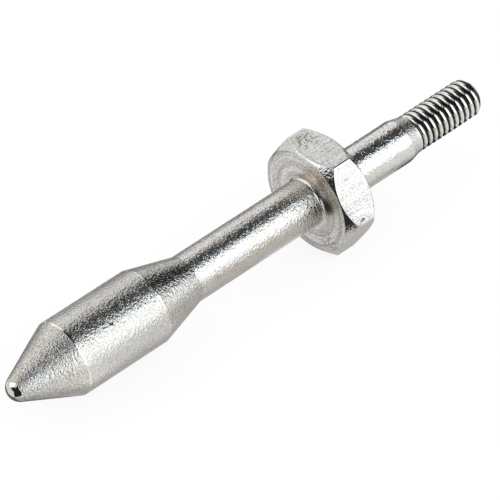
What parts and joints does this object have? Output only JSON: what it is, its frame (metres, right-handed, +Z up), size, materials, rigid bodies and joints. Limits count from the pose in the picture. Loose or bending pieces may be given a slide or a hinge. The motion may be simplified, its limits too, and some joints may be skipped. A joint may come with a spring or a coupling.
{
  "type": "guide pin",
  "caption": "Turned guide pin: bullet-nosed guide head, slim neck, chamfered hexagonal collar, plain shank and a short threaded stud. It leads a mating part into line.",
  "frame": {"origin": "on the pin's axis, in the plane of the collar's back face, which seats on what the pin is screwed into", "axes": "+X along the pin towards its threaded end, +Z up, with the pin lying on its side and one flat of the collar facing down"},
  "size_m": [0.0585, 0.0126, 0.011],
  "materials": {
    "plated_steel": "nickel-plated, finely turned and tumbled"
  },
  "bodies": {
    "root": {"guide_pin": "plated_steel"}
  },
  "joints": []
}
